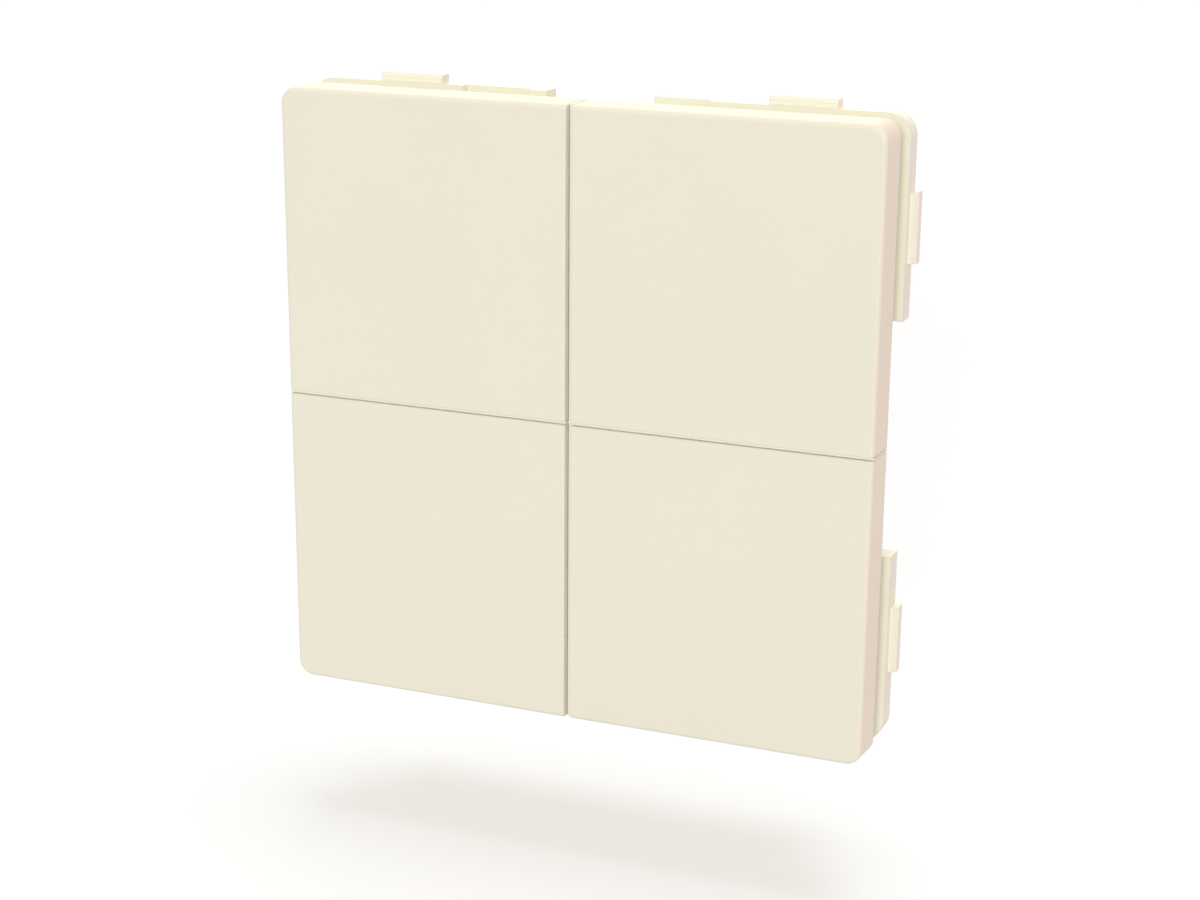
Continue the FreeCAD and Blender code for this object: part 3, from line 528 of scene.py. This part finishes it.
# The legs' feet are handed on, as places for solder
def makeSwitchLegs(values):
    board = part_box("circuit_board")[0].y
    legs, feet = [], []
    for name in switchNames:
        low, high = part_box(name)
        middle = (low.x + high.x) / 2
        for across in (middle - values["spacing"] / 2, middle + values["spacing"] / 2):
            for base, outward in ((high.z, 1.0), (low.z, -1.0)):
                legs.append(legStrip(across, base, outward, board, values))
                feet.append((across, base + outward * values["reach"] * values["solderShare"]))
    makePiece("switch_legs", legs, "tinnedSteel", mainBody)
    return feet


# Solder at the feet of the legs and along both edges of the radio board
solderValues = {
    "footRadius": 0.50 * mm,
    "footRise": 0.16 * mm,
    "padPitch": 1.27 * mm,
    "padRadius": 0.42 * mm,
    "padRise": 0.5 * mm,
}


# Domes on a board's face. Height falls as the square of the way from the middle to the rim.
def domes(centres, radius, rise, surface, rings=6, sides=14, innermost=0.04):
    reach = np.linspace(1.0, innermost, rings)[:, None]
    turn = np.linspace(0.0, 2.0 * math.pi, sides, endpoint=False)[None, :]
    x, z = radius * reach * np.cos(turn), radius * reach * np.sin(turn)
    y = np.broadcast_to(surface - rise * (1.0 - reach ** 2), x.shape)
    dome = np.stack((x, y, z), axis=-1)
    return [dome + np.array((across, 0.0, up)) for across, up in centres]


def makeSolder(values, feet):
    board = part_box("circuit_board")[0].y
    low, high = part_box("radio_board")
    heights = np.arange(low.z + values["padPitch"], high.z - values["padPitch"] / 2, values["padPitch"])
    pads = [(edge, height) for edge in (low.x, high.x) for height in heights]
    joints = domes(feet, values["footRadius"], values["footRise"], board)
    joints += domes(pads, values["padRadius"], values["padRise"], board)
    makePiece("solder_joints", joints, "solder", mainBody)


# Small chips: boxes with rounded edges, as superellipsoids over two angles
chipValues = {
    "chipPlace": (8.0 * mm, -6.5 * mm),
    "chipHalf": (1.5 * mm, 0.45 * mm, 1.5 * mm),
    "resistorPlaces": [(x * mm, z * mm) for x in (-9.5, -8.0, -6.5) for z in (-4.5, -8.5)],
    "resistorHalf": (0.25 * mm, 0.18 * mm, 0.50 * mm),
    "squareness": 0.16,
    "rings": 17,
    "sides": 32,
    "poleAngle": 0.02,
}


def roundedBlock(centre, half, board, values):
    poleAngle, power = values["poleAngle"], values["squareness"]
    fromTop = np.linspace(poleAngle, math.pi - poleAngle, values["rings"])[:, None]
    turn = np.linspace(0.0, 2.0 * math.pi, values["sides"], endpoint=False)[None, :]
    x = half[0] * signedPower(np.sin(fromTop), power) * signedPower(np.cos(turn), power)
    z = half[2] * signedPower(np.sin(fromTop), power) * signedPower(np.sin(turn), power)
    y = np.broadcast_to(half[1] * signedPower(np.cos(fromTop), power), x.shape)
    return np.stack((centre[0] + x, board - half[1] + y, centre[1] + z), axis=-1)


def makeChips(values):
    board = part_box("circuit_board")[0].y
    places = [(values["chipPlace"], values["chipHalf"])]
    places += [(place, values["resistorHalf"]) for place in values["resistorPlaces"]]
    blocks = [roundedBlock(centre, half, board, values) for centre, half in places]
    makePiece("small_chips", blocks, "blackPlastic", mainBody)


makeTurnMarks(turnMarks)
makeCoverMarks(coverMarks)
makeCellMark(cellMark)
makeSolder(solderValues, makeSwitchLegs(legValues))
makeChips(chipValues)
print("marks, legs, solder and chips made")


# Floor, background and lights. The glow and the full background are what the camera sees, and the ambient
# value is what the background gives as light.
stageValues = {
    "floorHeight": -41.2 * mm,
    "floorHalf": 6.0,
    "floorDiffuse": (0.63, 0.67, 0.785),
    "floorGlow": (0.396, 0.356, 0.240),
    "background": (1.0, 1.0, 1.0),
    "ambient": 0.56,
}
sunValues = {
    "frontSun": {
        "towards": (0.20, -1.0, 0.22),
        "strength": 1.22,
        "spread": 14,
        "colour": (1.0, 1.0, 1.0),
    },
    "backSun": {
        "towards": (-0.5, 1.0, 0.25),
        "strength": 1.0,
        "spread": 60,
        "colour": (1.0, 0.99, 0.97),
    },
    "topSun": {
        "towards": (0.06, 0.12, 1.0),
        "strength": 0.9,
        "spread": 32,
        "colour": (1.0, 1.0, 1.0),
    },
    "sideSun": {
        "towards": (1.0, 0.0, -0.2),
        "strength": 1.35,
        "spread": 60,
        "colour": (1.0, 0.06, 0.01),
    },
}


# One for camera, glossy and transmission rays
def seenDirectly(tree):
    path = addNode(tree, "ShaderNodeLightPath")
    total = path.outputs["Is Camera Ray"]
    for name in ("Is Glossy Ray", "Is Transmission Ray"):
        joined = addNode(tree, "ShaderNodeMath", operation="MAXIMUM")
        tree.links.new(total, joined.inputs[0])
        tree.links.new(path.outputs[name], joined.inputs[1])
        total = joined.outputs[0]
    return total


def makeFloor(values):
    half, height = values["floorHalf"], values["floorHeight"]
    mesh = bpy.data.meshes.new("floor")
    corners = [(-half, -half, height), (half, -half, height), (half, half, height), (-half, half, height)]
    mesh.from_pydata(corners, [], [(0, 1, 2, 3)])
    floor = bpy.data.objects.new("floor", mesh)
    bpy.context.scene.collection.objects.link(floor)
    material, tree, shader = newMaterial("floorWhite")
    shader.inputs["Base Color"].default_value = (*values["floorDiffuse"], 1.0)
    shader.inputs["Roughness"].default_value = 1.0
    shader.inputs["Specular IOR Level"].default_value = 0.0
    shader.inputs["Emission Color"].default_value = (*values["floorGlow"], 1.0)
    tree.links.new(seenDirectly(tree), shader.inputs["Emission Strength"])
    mesh.materials.append(material)


def makeBackground(values):
    world = bpy.data.worlds.new("studio")
    bpy.context.scene.world = world
    world.use_nodes = True
    tree = world.node_tree
    background = tree.nodes["Background"]
    background.inputs["Color"].default_value = (*values["background"], 1.0)
    level = spread(tree, seenDirectly(tree), values["ambient"], 1.0, 0.0, 1.0)
    tree.links.new(level, background.inputs["Strength"])


def makeSun(name, values):
    light = bpy.data.lights.new(name, "SUN")
    light.energy = values["strength"]
    light.angle = math.radians(values["spread"])
    light.color = values["colour"]
    lamp = bpy.data.objects.new(name, light)
    lamp.rotation_euler = Vector(values["towards"]).to_track_quat("Z", "Y").to_euler()
    bpy.context.scene.collection.objects.link(lamp)


makeFloor(stageValues)
makeBackground(stageValues)
for name, values in sunValues.items():
    makeSun(name, values)
bpy.context.scene.view_settings.view_transform = "Standard"
print("stage lit")
